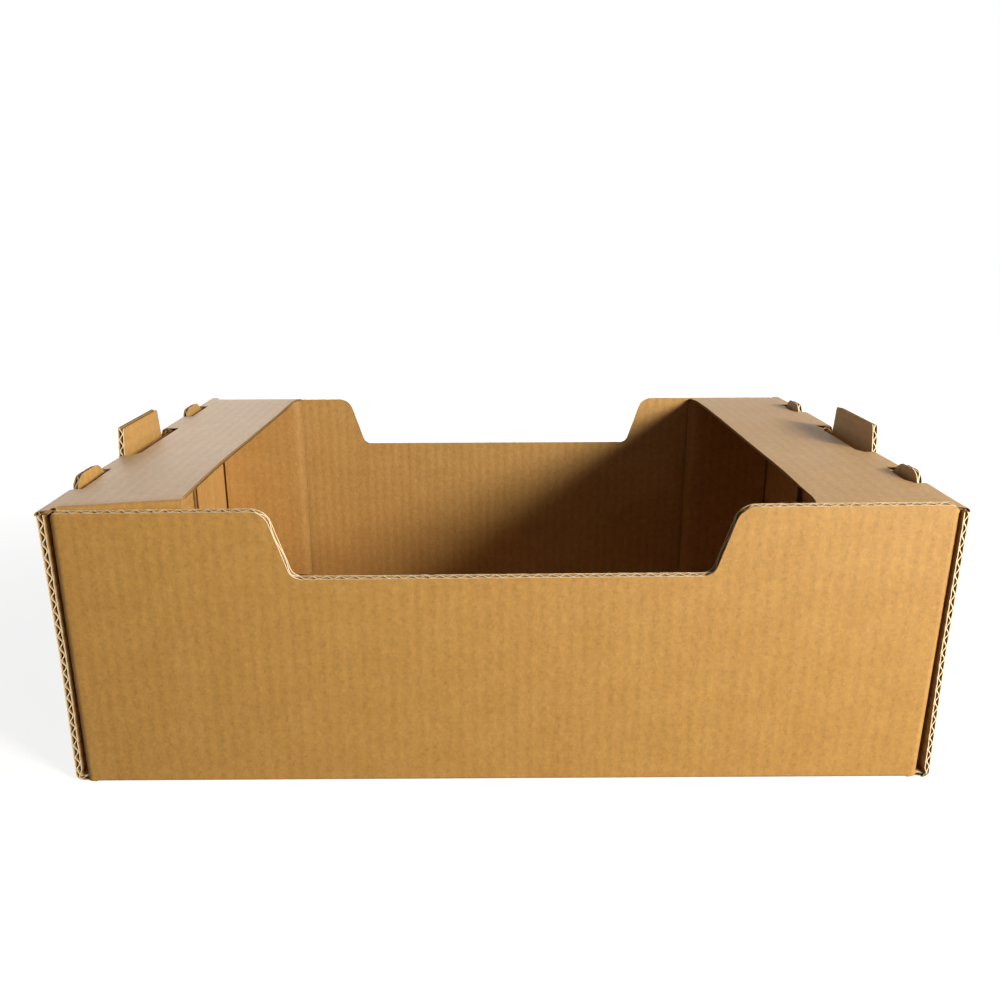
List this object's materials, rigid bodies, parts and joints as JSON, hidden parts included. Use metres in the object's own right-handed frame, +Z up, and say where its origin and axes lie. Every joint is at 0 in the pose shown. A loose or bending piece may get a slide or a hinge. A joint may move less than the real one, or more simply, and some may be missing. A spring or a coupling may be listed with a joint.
{
  "type": "cardboard tray box",
  "caption": "Open corrugated cardboard tray with a dip in each long wall, folded end decks with tucked wings, and tabs for stacking.",
  "frame": {"origin": "on the floor, under the middle of the base", "axes": "+X along the tray to the right deck, +Y from the front wall to the back wall, +Z up"},
  "size_m": [0.4, 0.26, 0.1484],
  "materials": {
    "kraft_board": "matte kraft liner"
  },
  "bodies": {
    "tray": {"tray": "kraft_board"},
    "left_deck": {"left_deck": "kraft_board"},
    "right_deck": {"right_deck": "kraft_board"}
  },
  "joints": [
    {"name": "left_deck_hinge", "type": "hinge", "parent": "tray", "child": "left_deck", "pos_m": [-0.1992, 0, 0.1338], "axis": [0, -1, 0], "range_deg": [0, 65]},
    {"name": "right_deck_hinge", "type": "hinge", "parent": "tray", "child": "right_deck", "pos_m": [0.1992, 0, 0.1338], "axis": [0, 1, 0], "range_deg": [0, 65]}
  ]
}
